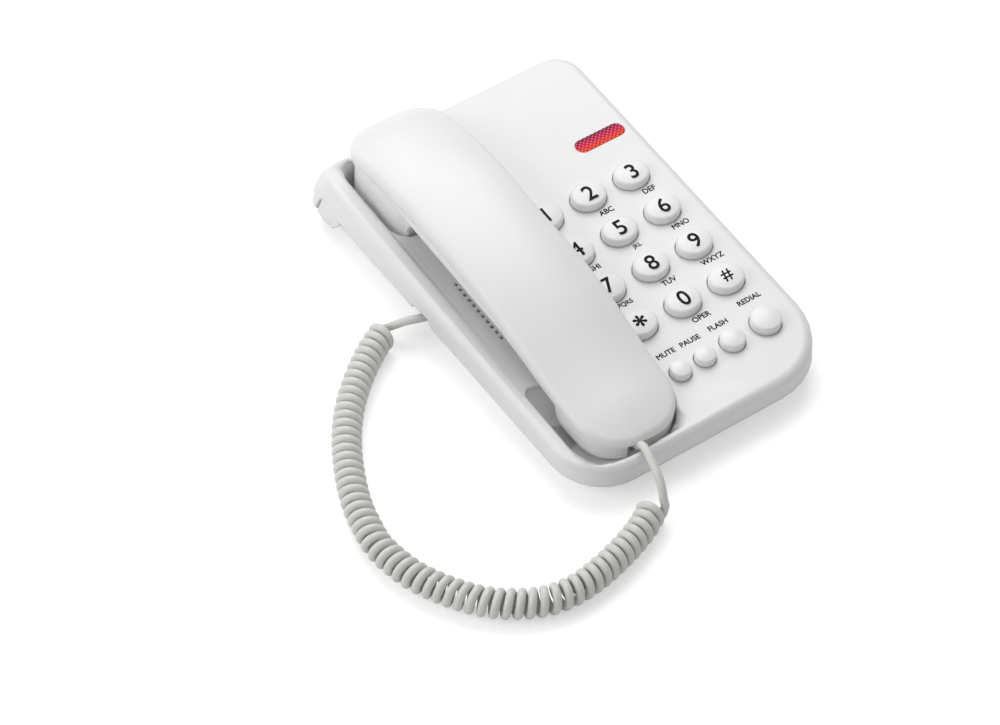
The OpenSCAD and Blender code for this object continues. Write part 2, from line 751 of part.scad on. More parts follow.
// ---- Handset ----
jack_notch_w = 8.8;
hs_jack_x = hs_x - 5;
hs_jack_h = -1.6;
hs_jack_face = hs_front + 6.2;
hs_jack_size = [11, 8.1, 11];

module handset_mouth_notch() {
    translate([hs_jack_x - jack_notch_w / 2, hs_front - 2, hs_jack_h - 4.6])
        cube([jack_notch_w, 8, 9.8]);
}

module handset_top_shell() {
    e = 3;
    w = hs_wall;
    skin = [hs_inner_ring(3.2, 0, 0.3, hs_crown, 0.93), hs_inner_ring(3.2, 0, 0.3, hs_crown, 0.66),
        hs_inner_ring(3.2, 0, 0.3, hs_crown, 0.33), hs_ring(e, 0, 0.3), hs_ring(1.6, 0, -0.3),
        hs_ring(0.7, 0, -1.1), hs_ring(0.15, 0, -2.2), hs_ring(0, 0, -3.2), hs_ring(0.4, 1, 0.1)];
    inside = [hs_ring(0.4 + w, 1, 0.1), hs_ring(0.15 + w, 0, -3.1), hs_ring(e + w, 0, -w),
        hs_inner_ring(e + w, 0, -w, hs_crown, 0.5), hs_inner_ring(e + w, 0, -w, hs_crown, 0.93)];
    color(shell_white) deck() difference() {
        loft(concat(skin, inside));
        handset_mouth_notch();
    }
}

// Slices of the two lobes: place along the handset, half width and depth
ear_slices = [[ear_from - 8.5, ear_half - 1.5, -6], [ear_from - 4, ear_half - 1.5, -4.5],
    [ear_from - 0.6, ear_half - 2, 0], [ear_from, ear_half - 6, 13.5], [ear_from + 1.5, ear_half - 3, ear_depth - 1],
    [ear_from + 4.5, ear_half - 0.8, ear_depth], [ear_from + 8, ear_half, ear_depth],
    [ear_to - 13, ear_half, ear_depth], [ear_to - 7, ear_half - 0.8, ear_depth],
    [ear_to - 3, ear_half - 3.4, ear_depth - 1], [ear_to, ear_half - 8, ear_depth - 3]];
mouth_slices = [[mouth_to + 8, mouth_half - 3, -2.4], [mouth_to + 3, mouth_half - 2, -1],
    [mouth_to - 1, mouth_half - 1.1, 3], [mouth_to - 5, mouth_half - 0.4, mouth_depth - 0.1],
    [mouth_to - 10, mouth_half, mouth_depth], [hs_front + 17.5, mouth_half - 0.2, mouth_depth],
    [hs_front + 11.5, mouth_half - 1.4, mouth_depth], [hs_front + 5, mouth_half - 7.3, mouth_depth - 0.5],
    [hs_front + 1.5, mouth_half - 13, mouth_depth - 2]];

module lobe_slice(s, middle, d, top) {
    v = s[0] + (s[0] < middle ? d : -d);
    r = 3.2 - d / 2;
    translate([hs_x, v, 0]) rotate([90, 0, 0]) linear_extrude(0.05) {
        for (side = [-1, 1]) translate([side * (s[1] - d - r), -s[2] + d + r]) circle(r = r, $fn = 20);
        translate([-s[1] + d, -s[2] + d + r]) square([2 * (s[1] - d), max(top - (-s[2] + d + r), 0.5)]);
    }
}

module lobe(slices, d, rise) {
    middle = (slices[0][0] + slices[len(slices) - 1][0]) / 2;
    for (i = [0:len(slices) - 2]) hull() {
        lobe_slice(slices[i], middle, d, under_h(slices[i][0]) + rise);
        lobe_slice(slices[i + 1], middle, d, under_h(slices[i + 1][0]) + rise);
    }
}

module grip_bowl(d, rise) {
    loft([hs_inner_ring(0.4 + d, 1, rise, 0, 0.93), hs_ring(0.4 + d, 1, rise), bowl_ring(0.5 + d, 4.6, d),
        bowl_ring(1.8 + d, 2.2, d), bowl_ring(4.5 + d, 0.6, d), bowl_ring(7.5 + d, 0, d),
        hs_inner_ring(7.5 + d, 2, d, 0, 0.93)]);
}

earpiece_at = [hs_x, ear_to - 21.5];
microphone_at = [hs_x, hs_front + 24.5];
module handset_bottom_shell() {
    w = hs_wall;
    color(shell_white) deck() difference() {
        union() {
            grip_bowl(0, -0.1);
            lobe(ear_slices, 0, 1.5);
            lobe(mouth_slices, 0, 1.5);
        }
        grip_bowl(w, 4);
        lobe(ear_slices, w, 6);
        lobe(mouth_slices, w, 6);
        handset_mouth_notch();
        translate([hs_x - hs_w, ear_well[3] - 0.6, -30]) cube([2 * hs_w, 40, 30.8]);
        for (a = [0:60:300]) translate([earpiece_at[0] + 6 * cos(a), earpiece_at[1] + 6 * sin(a), -30])
            cylinder(r = 1, h = 20, $fn = 10);
        for (s = [-1, 0, 1]) translate([microphone_at[0] + 3 * s, microphone_at[1], -20])
            cylinder(r = 0.9, h = 15, $fn = 10);
    }
}

module earpiece_speaker() {
    color(dark_grey) deck() translate([earpiece_at[0], earpiece_at[1], -ear_depth + hs_wall + 0.3]) {
        cylinder(r = 13.7, h = 4);
        cylinder(r = 9, h = 8);
    }
}

module microphone() {
    color("silver") deck() translate([microphone_at[0], microphone_at[1], -mouth_depth + hs_wall + 1.5])
        cylinder(r = 4.8, h = 4);
}

module microphone_boot() {
    color(dark_grey) deck() translate([microphone_at[0], microphone_at[1], -mouth_depth + hs_wall + 0.4])
        difference() {
            cylinder(r = 5.7, h = 5);
            translate([0, 0, 1]) cylinder(r = 4.9, h = 6);
        }
}

module handset_weight() {
    color("gray") deck() translate([hs_x - 11, -18, hs_grip_under + hs_wall + 0.3]) cube([22, 46, 5]);
}

module handset_jack() {
    size = hs_jack_size;
    color(dark_grey) deck() translate([hs_jack_x, hs_jack_face, hs_jack_h]) rotate([0, 0, 90])
        modular_jack(size[0], size[1], size[2], plug_w + 2 * plug_gap, plug_h + 2 * plug_gap, plug_l - 1);
}

module handset_screws() {
    color("silver") deck() for (v = [-21, 36]) translate([hs_x, v, hs_grip_under + hs_wall + 0.2]) {
        cylinder(r = 2.6, h = 1.6);
        cylinder(r = 1.3, h = 9);
    }
}

// ---- Curly cord ----
// A clear plug with its face at the origin and the cord leaving along -X. The latch is underneath
module modular_plug() {
    difference() {
        translate([-1, -plug_w / 2, -plug_h / 2]) cube([plug_l, plug_w, plug_h]);
        translate([plug_l - 3, -plug_w / 2 - 1, -plug_h / 2 - 1]) cube([3, plug_w + 2, 1.8]);
    }
    translate([-1, 0, 0]) rotate([0, -90, 0]) cylinder(d = cord_d + 1, h = 1.2);
    hull() {
        translate([plug_l - 4, -1.4, -plug_h / 2 - 0.2]) cube([0.5, 2.8, 0.8]);
        translate([-3.5, -1.4, -plug_h / 2 - 0.6]) cube([0.5, 2.8, 0.7]);
    }
}

module base_plug() {
    color([0.85, 0.88, 0.9, 0.7]) translate([jack_face_x, jack_y, jack_z]) modular_plug();
}

module handset_plug() {
    color([0.85, 0.88, 0.9, 0.7]) deck() translate([hs_jack_x, hs_jack_face, hs_jack_h]) rotate([0, 0, 90])
        modular_plug();
}

// Points of the two smooth stretches, from the plug to the coil, and of the coil's middle line
base_route = [[-60.5, 14.5, 12], [-64, 15.2, 12], [-68, 16.8, 11.8], [-71.5, 18.8, 10.8], [-74.2, 20.8, 8.9],
    [-76.2, 22.6, 7.2]];
handset_route = [[-35, -93.09, 17.75], [-35, -94.9, 17.86], [-35, -96.47, 18.69], [-35, -97.8, 20.29],
    [-35.1, -98.98, 21.2], [-35.2, -100.32, 21.7], [-35.6, -103.4, 21.6], [-36.3, -106.5, 21.1], [-37, -110, 20.2],
    [-37.8, -113.5, 19.2], [-38.5, -116.4, 17.6], [-39.2, -118.7, 15.6], [-40.1, -120.9, 13]];
coil_route = [[-80.4, 21.3], [-87.5, 17.5], [-97.5, 10.5], [-108, 1.5], [-116.5, -7.5], [-124, -17.5],
    [-130, -27.5], [-135, -37.5], [-139.5, -48.5], [-142.5, -60], [-144.3, -73], [-141.6, -90], [-135.5, -104],
    [-126.4, -117.5], [-116, -126.5], [-104, -132.5], [-90.8, -134], [-75.6, -131.7], [-61.3, -127.5],
    [-51, -123.2], [-43.2, -118.3]];
coil_z = coil_d / 2 + 0.2;
start_angle = 215;
end_angle = 180;

function unit(v) = v / norm(v);
function spline(p, i, t) = let (a = p[max(i - 1, 0)], b = p[i], c = p[i + 1], d = p[min(i + 2, len(p) - 1)])
    0.5 * (2 * b + (c - a) * t + (2 * a - 5 * b + 4 * c - d) * t * t + (3 * b - a - 3 * c + d) * t * t * t);

spline_steps = 10;
coil_points = [for (i = [0:len(coil_route) - 2]) for (k = [0:spline_steps - 1])
    spline(coil_route, i, k / spline_steps), coil_route[len(coil_route) - 1]];
function turn(a, b, c) = let (d = unit(b - a), e = unit(c - b)) norm(e - d);
function step(i) = norm(coil_points[i + 1] - coil_points[i])
    - (i > 0 ? 3 * turn(coil_points[i - 1], coil_points[i], coil_points[i + 1]) : 0);
// Length along the coil's inner side, which is what the curls are spaced by
coil_arcs = [for (i = 0, s = 0; i < len(coil_points);
    s = s + (i + 1 < len(coil_points) ? step(i) : 0), i = i + 1) s];
coil_len = coil_arcs[len(coil_arcs) - 1];
coil_xs = [for (i = [0:len(coil_points) - 1]) [coil_arcs[i], coil_points[i][0]]];
coil_ys = [for (i = [0:len(coil_points) - 1]) [coil_arcs[i], coil_points[i][1]]];
function on_coil(s) = [lookup(s, coil_xs), lookup(s, coil_ys), coil_z];
function coil_dir(s) = let (a = max(s - 1.5, 0), b = min(s + 1.5, coil_len)) unit(on_coil(b) - on_coil(a));

curl_rings = 8;
helix_r = (coil_d - cord_d) / 2;
turn_angle = 360 * coil_turns + start_angle - end_angle;
helix_rings = ceil(curl_rings * turn_angle / 360);
// Centre of the cord's section at the share u of the coil
function curl(u) = let (s = u * coil_len, t = coil_dir(s), n = [-t[1], t[0], 0],
    a = start_angle - turn_angle * u)
    on_coil(s) + helix_r * (cos(a) * n + sin(a) * [0, 0, 1]);
curls = [for (i = [0:helix_rings]) curl(i / helix_rings)];

// The cord comes straight off the smooth stretch, bends once and runs into the first curl
coil_from = base_route[len(base_route) - 1];
coil_in = unit(coil_from - base_route[len(base_route) - 2]);
bend_from = coil_from + cord_d * coil_in;
curl_in = unit(curl(0.0005) - curl(0));
bend_to = curls[0];
reach = norm(bend_to - bend_from) * 0.45;
function bend(t) = let (a = bend_from, b = bend_from + reach * coil_in, c = bend_to - reach * curl_in,
    d = bend_to)
    (1 - t) * (1 - t) * (1 - t) * a + 3 * t * (1 - t) * (1 - t) * b + 3 * t * t * (1 - t) * c + t * t * t * d;
curl_out = unit(curl(1) - curl(0.9995));
coil_to = curls[helix_rings] + (cord_d + 0.2) * curl_out;
coil_line = concat([coil_from, bend_from], [for (t = [0.25, 0.5, 0.75]) bend(t)], curls, [coil_to]);

// The least gap between two stretches of the coil's cord that aren't next to each other along it
fine = 24;
fine_line = [for (i = [0:fine * coil_turns]) curl(i / (fine * coil_turns))];
least_gap = min([for (i = [0:len(fine_line) - 1])
    for (k = [i + fine * 0.75:1:min(i + fine * 1.25, len(fine_line) - 1)])
        norm(fine_line[i] - fine_line[k])]) - cord_d;
echo(coil_length = coil_len, least_gap = least_gap);

// A round tube along a line of points, with its ends square to the first and the last stretch
module tube(line, d, sides, first, last) {
    n = len(line);
    dirs = [for (i = [0:n - 1]) i == 0 ? first : i == n - 1 ? last
        : unit(unit(line[i] - line[i - 1]) + unit(line[i + 1] - line[i]))];
    ups = [for (i = 0, u = unit(cross(dirs[0], [0.3, 0.2, 1])); i < n;
        i = i + 1, u = i < n ? unit(u - (u * dirs[i]) * dirs[i]) : u) u];
    points = [for (i = [0:n - 1]) let (w = cross(dirs[i], ups[i])) for (k = [0:sides - 1])
        line[i] + d / 2 * (cos(k * 360 / sides) * ups[i] + sin(k * 360 / sides) * w)];
    walls = [for (i = [0:n - 2]) for (k = [0:sides - 1])
        let (a = i * sides + k, b = i * sides + (k + 1) % sides)
        each [[a, a + sides, b], [b, a + sides, b + sides]]];
    cap_a = [for (k = [1:sides - 2]) [0, k, k + 1]];
    cap_b = [for (k = [1:sides - 2]) let (o = (n - 1) * sides) [o, o + k + 1, o + k]];
    polyhedron(points, concat(walls, cap_a, cap_b), convexity = 10);
}

module cord_tube(line, first, last) color(cord_white) tube(line, cord_d, 8, first, last);

module base_lead() cord_tube(base_route, [-1, 0, 0], coil_in);
module handset_lead() {
    cord_tube(concat(handset_route, [coil_to]), [0, -cos(tilt), -sin(tilt)], -curl_out);
}
module cord_coil() color(cord_white) tube(coil_line, cord_d, 6, coil_in, curl_out);

top_housing();
bottom_housing();
base_screws();
rubber_feet();
main_board();
keypad_membrane();
number_key(key_at(0, 3));  // key_1
number_key(key_at(1, 3));  // key_2
number_key(key_at(2, 3));  // key_3
number_key(key_at(0, 2));  // key_4
number_key(key_at(1, 2));  // key_5
number_key(key_at(2, 2));  // key_6
number_key(key_at(0, 1));  // key_7
number_key(key_at(1, 1));  // key_8
number_key(key_at(2, 1));  // key_9
number_key(key_at(0, 0));  // key_star
number_key(key_at(1, 0));  // key_0
number_key(key_at(2, 0));  // key_hash
round_key(redial_at, redial_d);  // key_redial
round_key(flash_at, flash_d);  // key_flash
round_key(pause_at, small_key_d);  // key_pause
round_key(mute_at, small_key_d);  // key_mute
indicator_lens();
indicator_led();
hook_plunger();
hook_switch();
hanger_tab();
ringer_speaker();
base_jack();
line_jack();
handset_top_shell();
handset_bottom_shell();
earpiece_speaker();
microphone();
microphone_boot();
handset_weight();
handset_jack();
handset_screws();
base_plug();
base_lead();
cord_coil();
handset_lead();
handset_plug();
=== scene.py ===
import json
import math

import bmesh
import bpy
from mathutils import Matrix, Vector


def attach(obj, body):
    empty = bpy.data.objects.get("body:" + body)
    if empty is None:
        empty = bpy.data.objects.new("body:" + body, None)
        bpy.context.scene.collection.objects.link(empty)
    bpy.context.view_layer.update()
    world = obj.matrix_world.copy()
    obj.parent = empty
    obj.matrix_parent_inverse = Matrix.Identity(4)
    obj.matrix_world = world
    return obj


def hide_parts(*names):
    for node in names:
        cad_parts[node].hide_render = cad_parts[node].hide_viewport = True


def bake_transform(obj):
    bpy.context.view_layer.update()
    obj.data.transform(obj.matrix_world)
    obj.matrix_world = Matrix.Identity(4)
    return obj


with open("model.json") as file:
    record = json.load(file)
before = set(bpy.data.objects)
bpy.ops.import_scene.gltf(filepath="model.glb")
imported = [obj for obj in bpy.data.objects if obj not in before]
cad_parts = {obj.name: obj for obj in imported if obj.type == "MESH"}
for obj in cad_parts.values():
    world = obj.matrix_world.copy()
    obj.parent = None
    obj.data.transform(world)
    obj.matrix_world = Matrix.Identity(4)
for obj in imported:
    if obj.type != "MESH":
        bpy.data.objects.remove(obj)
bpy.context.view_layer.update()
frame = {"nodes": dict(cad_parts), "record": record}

MM = 0.001

# ---------------------------------------------------------------- camera

camera_data = bpy.data.cameras.new("camera")
camera_data.lens = 129.6
camera_data.sensor_width = 36
camera_data.clip_end = 20
camera = bpy.data.objects.new("camera", camera_data)
camera.location = (-0.6114, -0.8284, 1.1308)
camera.rotation_euler = (math.radians(41.22), 0, math.radians(-34.8))
bpy.context.scene.collection.objects.link(camera)
bpy.context.scene.camera = camera

# ---------------------------------------------------------------- main sizes, in millimetres

BODY_W, BODY_L, FRONT_Z, TILT = 131.0, 208.0, 18.5, math.radians(4.5)
LEFT, RIGHT, FRONT, REAR = -BODY_W / 2, BODY_W / 2, -BODY_L / 2, BODY_L / 2
DECK_Z = FRONT_Z + REAR * math.tan(TILT)
DECK = Matrix.Translation((0, 0, DECK_Z * MM)) @ Matrix.Rotation(TILT, 4, "X")


def mm(*p):
    """A point in millimetres, as a vector in metres."""
    return Vector(p) * MM


def on_deck(x, y, h):
    """The place and slope of a point on the deck, as a matrix."""
    return DECK @ Matrix.Translation(mm(x, y, h))


# ---------------------------------------------------------------- materials


def shader_of(mat):
    """The node that all looks of a material run into."""
    return mat.node_tree.nodes["Principled BSDF"]


def material(name, base, roughness, **sockets):
    """A plain material. A socket's name has _ for each space."""
    mat = bpy.data.materials.new(name)
    mat.use_nodes = True
    shader = shader_of(mat)
    shader.inputs["Base Color"].default_value = (*base, 1)
    shader.inputs["Roughness"].default_value = roughness
    for socket, value in sockets.items():
        shader.inputs[socket.replace("_", " ")].default_value = value
    return mat


def add(mat, kind, **values):
    """A new shader node. Each value goes to the input of that name, or else to the setting."""
    node = mat.node_tree.nodes.new(kind)
    for name, value in values.items():
        if name in node.inputs:
            node.inputs[name].default_value = value
        else:
            setattr(node, name, value)
    return node


def wire(mat, a, out, b, into):
    """Links an output of one shader node to an input of another."""
    mat.node_tree.links.new(a.outputs[out], b.inputs[into])


def grain(mat, size_mm, height_mm, strength):
    """A fine moulded texture: noise on the piece's own coordinates, as bump."""
    place = add(mat, "ShaderNodeTexCoord")
    noise = add(mat, "ShaderNodeTexNoise", Scale=1 / (size_mm * MM), Detail=3.0)
    bump = add(mat, "ShaderNodeBump", Strength=strength, Distance=height_mm * MM)
    wire(mat, place, "Object", noise, "Vector")
    wire(mat, noise, "Fac", bump, "Height")
    wire(mat, bump, "Normal", shader_of(mat), "Normal")


def uneven(mat, size_mm, low, high):
    """Lets the roughness wander a little over the piece."""
    place = add(mat, "ShaderNodeTexCoord")
    noise = add(mat, "ShaderNodeTexNoise", Scale=1 / (size_mm * MM), Detail=2.0)
    spread = add(mat, "ShaderNodeMapRange")
    spread.inputs["To Min"].default_value = low
    spread.inputs["To Max"].default_value = high
    wire(mat, place, "Object", noise, "Vector")
    wire(mat, noise, "Fac", spread, "Value")
    wire(mat, spread, "Result", shader_of(mat), "Roughness")


def shaded(mat, size_mm, a, b):
    """Two near shades of one colour, clouded over the piece."""
    place = add(mat, "ShaderNodeTexCoord")
    noise = add(mat, "ShaderNodeTexNoise", Scale=1 / (size_mm * MM), Detail=2.0)
    ramp = add(mat, "ShaderNodeValToRGB")
    ramp.color_ramp.elements[0].position = 0.35
    ramp.color_ramp.elements[0].color = (*a, 1)
    ramp.color_ramp.elements[1].position = 0.65
    ramp.color_ramp.elements[1].color = (*b, 1)
    wire(mat, place, "Object", noise, "Vector")
    wire(mat, noise, "Fac", ramp, "Fac")
    wire(mat, ramp, "Color", shader_of(mat), "Base Color")


def plastic(name, base, roughness, grain_mm=0.35, bump=0.1):
    """Moulded plastic: faintly clouded, uneven in its shine and finely grained."""
    mat = material(name, base, roughness)
    shaded(mat, 30, tuple(c * 0.985 for c in base), base)
    uneven(mat, 9, roughness - 0.04, roughness + 0.05)
    grain(mat, grain_mm, 0.01, bump)
    return mat


shell_white = plastic("shell_white", (0.83, 0.83, 0.835), 0.36)
# The base's white differs only in that its sharp edges are shaded round.
moulded_white = plastic("moulded_white", (0.83, 0.83, 0.835), 0.36)
soft_edge = add(moulded_white, "ShaderNodeBevel", samples=6)
soft_edge.inputs["Radius"].default_value = 1.4 * MM
bump_of = [n for n in moulded_white.node_tree.nodes if n.type == "BUMP"][0]
wire(moulded_white, soft_edge, "Normal", bump_of, "Normal")
key_white = plastic("key_white", (0.86, 0.86, 0.865), 0.32, 0.3, 0.06)
cord_white = plastic("cord_white", (0.69, 0.685, 0.665), 0.34, 0.5, 0.08)
dark_plastic = plastic("dark_plastic", (0.03, 0.03, 0.034), 0.5)
black_rubber = plastic("black_rubber", (0.035, 0.035, 0.037), 0.75, 0.25, 0.4)
board_green = plastic("board_green", (0.02, 0.13, 0.05), 0.4)
steel = material("steel", (0.6, 0.6, 0.6), 0.3, Metallic=1.0)
uneven(steel, 2, 0.22, 0.4)
lamp_red = plastic("lamp_red", (0.7, 0.04, 0.03), 0.25)
clear_plastic = material("clear_plastic", (0.93, 0.95, 0.96), 0.08, IOR=1.49)
shader_of(clear_plastic).inputs["Transmission Weight"].default_value = 0.85
uneven(clear_plastic, 3, 0.05, 0.12)
ink = plastic("ink", (0.006, 0.006, 0.007), 0.6)
shader_of(ink).inputs["Specular IOR Level"].default_value = 0.15


def finish_mesh(name, bm, mat, body, smooth=math.radians(35)):
    """Turns a bmesh, already in place, into a piece that rides on a body."""
    mesh = bpy.data.meshes.new(name)
    bm.to_mesh(mesh)
    bm.free()
    piece = bpy.data.objects.new(name, mesh)
    bpy.context.scene.collection.objects.link(piece)
    mesh.materials.append(mat)
    if smooth:
        mesh.shade_smooth()
        mesh.set_sharp_from_angle(angle=smooth)
    if body:
        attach(piece, body)
    return piece


def ring(bm, points, matrix=Matrix.Identity(4)):
    """A closed loop of edges through points in millimetres."""
    verts = [bm.verts.new(matrix @ mm(*p)) for p in points]
    return [bm.edges.new((verts[i - 1], verts[i])) for i in range(len(verts))]


def loft(loops, matrix=Matrix.Identity(4), caps=(True, True)):
    """A skin bridged through closed loops of as many points each, with its two ends filled."""
    bm = bmesh.new()
    edges = [ring(bm, loop, matrix) for loop in loops]
    for a, b in zip(edges, edges[1:]):
        bmesh.ops.bridge_loops(bm, edges=a + b)
    for cap, loop in zip(caps, (edges[0], edges[-1])):
        if cap:
            bmesh.ops.contextual_create(bm, geom=loop)
    bmesh.ops.remove_doubles(bm, verts=bm.verts, dist=0.002 * MM)
    bmesh.ops.recalc_face_normals(bm, faces=bm.faces)
    return bm


def baked(piece):
    """Applies a piece's modifiers to its mesh."""
    graph = bpy.context.evaluated_depsgraph_get()
    mesh = bpy.data.meshes.new_from_object(piece.evaluated_get(graph))
    piece.modifiers.clear()
    old, piece.data = piece.data, mesh
    bpy.data.meshes.remove(old)


def copy_of(node):
    """A merged copy of a CAD node's mesh, with its flat triangles joined."""
    bm = bmesh.new()
    bm.from_mesh(frame["nodes"][node].data)
    bmesh.ops.remove_doubles(bm, verts=bm.verts, dist=0.004 * MM)
    bmesh.ops.dissolve_limit(bm, angle_limit=math.radians(0.6), verts=bm.verts, edges=bm.edges,
                             use_dissolve_boundaries=False)
    return bm


# ---------------------------------------------------------------- the cord

CORD_D, COIL_D, TURNS = 3.6, 12.8, 58
FLOOR_GAP = 0.2
COIL_Z = COIL_D / 2 + FLOOR_GAP
START_ANGLE, END_ANGLE = 215.0, 180.0
# The cord's way from the base's jack to the coil, and from the handset's jack down to the coil's far end.
BASE_ROUTE = [(-60.5, 14.5, 12), (-64, 15.2, 12), (-68, 16.8, 11.8), (-71.5, 18.8, 10.8), (-74.2, 20.8, 8.9),
              (-76.2, 22.6, 7.2)]
HANDSET_ROUTE = [(-35, -93.09, 17.75), (-35, -94.9, 17.86), (-35, -96.47, 18.69), (-35, -97.8, 20.29),
                 (-35.1, -98.98, 21.2), (-35.2, -100.32, 21.7), (-35.6, -103.4, 21.6), (-36.3, -106.5, 21.1),
                 (-37, -110, 20.2), (-37.8, -113.5, 19.2), (-38.5, -116.4, 17.6), (-39.2, -118.7, 15.6),
                 (-40.1, -120.9, 13)]
COIL_ROUTE = [(-80.4, 21.3), (-87.5, 17.5), (-97.5, 10.5), (-108, 1.5), (-116.5, -7.5), (-124, -17.5),
              (-130, -27.5), (-135, -37.5), (-139.5, -48.5), (-142.5, -60), (-144.3, -73), (-141.6, -90),
              (-135.5, -104), (-126.4, -117.5), (-116, -126.5), (-104, -132.5), (-90.8, -134), (-75.6, -131.7),
              (-61.3, -127.5), (-51, -123.2), (-43.2, -118.3)]


def spline(points, steps):
    """A smooth line through all the points."""
    points = [Vector(p) for p in points]
    line = []
    for i in range(len(points) - 1):
        a, b = points[max(i - 1, 0)], points[i]
        c, d = points[i + 1], points[min(i + 2, len(points) - 1)]
        for k in range(steps):
            t = k / steps
            line.append(0.5 * (2 * b + (c - a) * t + (2 * a - 5 * b + 4 * c - d) * t * t
                               + (3 * b - a - 3 * c + d) * t * t * t))
    return line + [points[-1]]


# The coil's middle line lies flat. Its length is counted on the inside of each bend, so that the curls
# keep their distance there.
INNER_REACH = 3
LOOK = 1.5                                        # how far ahead and back the coil's direction is taken from
flat_line = spline([(x, y, 0) for x, y in COIL_ROUTE], 10)
inner = [0.0]
for i in range(len(flat_line) - 1):
    step = (flat_line[i + 1] - flat_line[i]).length
    if i > 0:
        before = (flat_line[i] - flat_line[i - 1]).normalized()
        step -= INNER_REACH * ((flat_line[i + 1] - flat_line[i]).normalized() - before).length
    inner.append(inner[-1] + step)
COIL_LEN = inner[-1]


def on_coil(s):
    """The point of the coil's middle line at a length along it."""
    s = min(max(s, 0), COIL_LEN)
    low, high = 0, len(inner) - 1
    while high - low > 1:
        half = (low + high) // 2
        low, high = (half, high) if inner[half] <= s else (low, half)
    t = (s - inner[low]) / (inner[high] - inner[low])
    return flat_line[low].lerp(flat_line[high], t) + Vector((0, 0, COIL_Z))


def curl(u):
    """The point of the wire at a share of the whole coil, on its helix round the middle line."""
    s = u * COIL_LEN
    along = (on_coil(s + LOOK) - on_coil(s - LOOK)).normalized()
    side = Vector((-along.y, along.x, 0))
    angle = math.radians(START_ANGLE - (360 * TURNS + START_ANGLE - END_ANGLE) * u)
    reach = (COIL_D - CORD_D) / 2
    return on_coil(s) + reach * (math.cos(angle) * side + math.sin(angle) * Vector((0, 0, 1)))


def tube(line, diameter, sides, first=None, last=None):
    """A round tube along a line of points, as a bmesh, with its ends square to the line."""
    bm = bmesh.new()
    n = len(line)
    dirs = []
    for i in range(n):
        back = (line[i] - line[max(i - 1, 0)]).normalized()
        on = (line[min(i + 1, n - 1)] - line[i]).normalized()
        dirs.append((back + on).normalized())
    dirs[0] = Vector(first).normalized() if first else dirs[0]
    dirs[-1] = Vector(last).normalized() if last else dirs[-1]
    up = dirs[0].cross(Vector((0.3, 0.2, 1))).normalized()
    rings = []
    for p, d in zip(line, dirs):
        up = (up - up.dot(d) * d).normalized()
        side = d.cross(up)
        rings.append([bm.verts.new((p + diameter / 2 * (math.cos(a) * up + math.sin(a) * side)) * MM)
                      for a in (2 * math.pi * k / sides for k in range(sides))])
    for a, b in zip(rings, rings[1:]):
        for k in range(sides):
            bm.faces.new((a[k], a[(k + 1) % sides], b[(k + 1) % sides], b[k]))
    bm.faces.new(rings[0][::-1])
    bm.faces.new(rings[-1])
    return bm


def bezier(a, b, c, d, t):
    """The point at a share of a curve from a to d that b and c draw towards them."""
    return (1 - t) ** 3 * a + 3 * t * (1 - t) ** 2 * b + 3 * t * t * (1 - t) * c + t ** 3 * d


RINGS, SIDES = 28, 16                             # rings of points on each curl, and points on each ring
curls = [curl(i / (RINGS * TURNS)) for i in range(RINGS * TURNS + 1)]
base_part = spline(BASE_ROUTE, 6)
coil_in = (base_part[-1] - base_part[-2]).normalized()
bend_from = base_part[-1] + CORD_D * coil_in
curl_in = (curls[1] - curls[0]).normalized()
reach = (curls[0] - bend_from).length * 0.45
BEND_STEPS = 8
bend = [bezier(bend_from, bend_from + reach * coil_in, curls[0] - reach * curl_in, curls[0], t / BEND_STEPS)
        for t in range(BEND_STEPS)]
curl_out = (curls[-1] - curls[-2]).normalized()
TAIL = CORD_D + 0.2                               # the coil's straight end, which the lead runs into
coil_to = curls[-1] + TAIL * curl_out
cord_line = base_part + bend + curls + [curls[-1] + 0.5 * TAIL * curl_out, coil_to]

curly_cord = finish_mesh("curly_cord", tube(cord_line, CORD_D, SIDES, first=(-1, 0, 0)), cord_white, "base",
                         math.radians(60))
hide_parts("base_lead", "cord_coil")

LEAD_OVERLAP = 0.6
lead_line = spline(HANDSET_ROUTE + [tuple(coil_to - LEAD_OVERLAP * curl_out)], 8)
handset_lead = finish_mesh("handset_cord_lead", tube(lead_line, CORD_D * 0.998, SIDES, last=tuple(-curl_out)),
                           cord_white, None, math.radians(60))
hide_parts("handset_lead")
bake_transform(handset_lead)

# ---------------------------------------------------------------- handset

HS_X, HS_FRONT, HS_REAR, HS_HALF = LEFT + 35.5, FRONT + 6.5, 98.2, 24.0
NOSE_R, TAIL_R, HS_TOP, HS_CROWN = 20.0, 17.0, 22.3, 3.5
EAR_FROM, EAR_TO, EAR_DEPTH = 46.5, 91.5, 16.0
MOUTH_TO, MOUTH_DEPTH = HS_FRONT + 37.5, 9.0
LOBE_R = 3.4                                      # rounding of the ends' lower edges
ARCH_R, ARCH_TOP = 240.0, 19.0                    # the arch of the back, and the place of its top
NOSE_FROM, NOSE_FALL, NOSE_LIFT = -45.8, 0.31, 0.0028
SPINE_FRONT, SPINE_REAR = 22, 18                  # how far the crown's ridge stops short of each end
WAIST, WAIST_AT, WAIST_L = 1.9, 12.0, 28.0        # how far the right edge draws in, where, and over what length


def arch(v):
    """How far the back lies under the top of its arch."""
    return ARCH_R - math.sqrt(ARCH_R * ARCH_R - (v - ARCH_TOP) ** 2)


def edge_h(v):
    """Height of the back's edge: an arch that runs into a straighter nose."""
    if v > NOSE_FROM:
        return HS_TOP - arch(v)
    past = NOSE_FROM - v
    return HS_TOP - arch(NOSE_FROM) - NOSE_FALL * past + NOSE_LIFT * past ** 2


def part_h(v):
    """Height of the line where the two shells of the handset meet."""
    return max(HS_TOP - 8.3 - 0.8 * (HS_TOP - edge_h(v)), min(edge_h(v) - 3.6, 1.3))


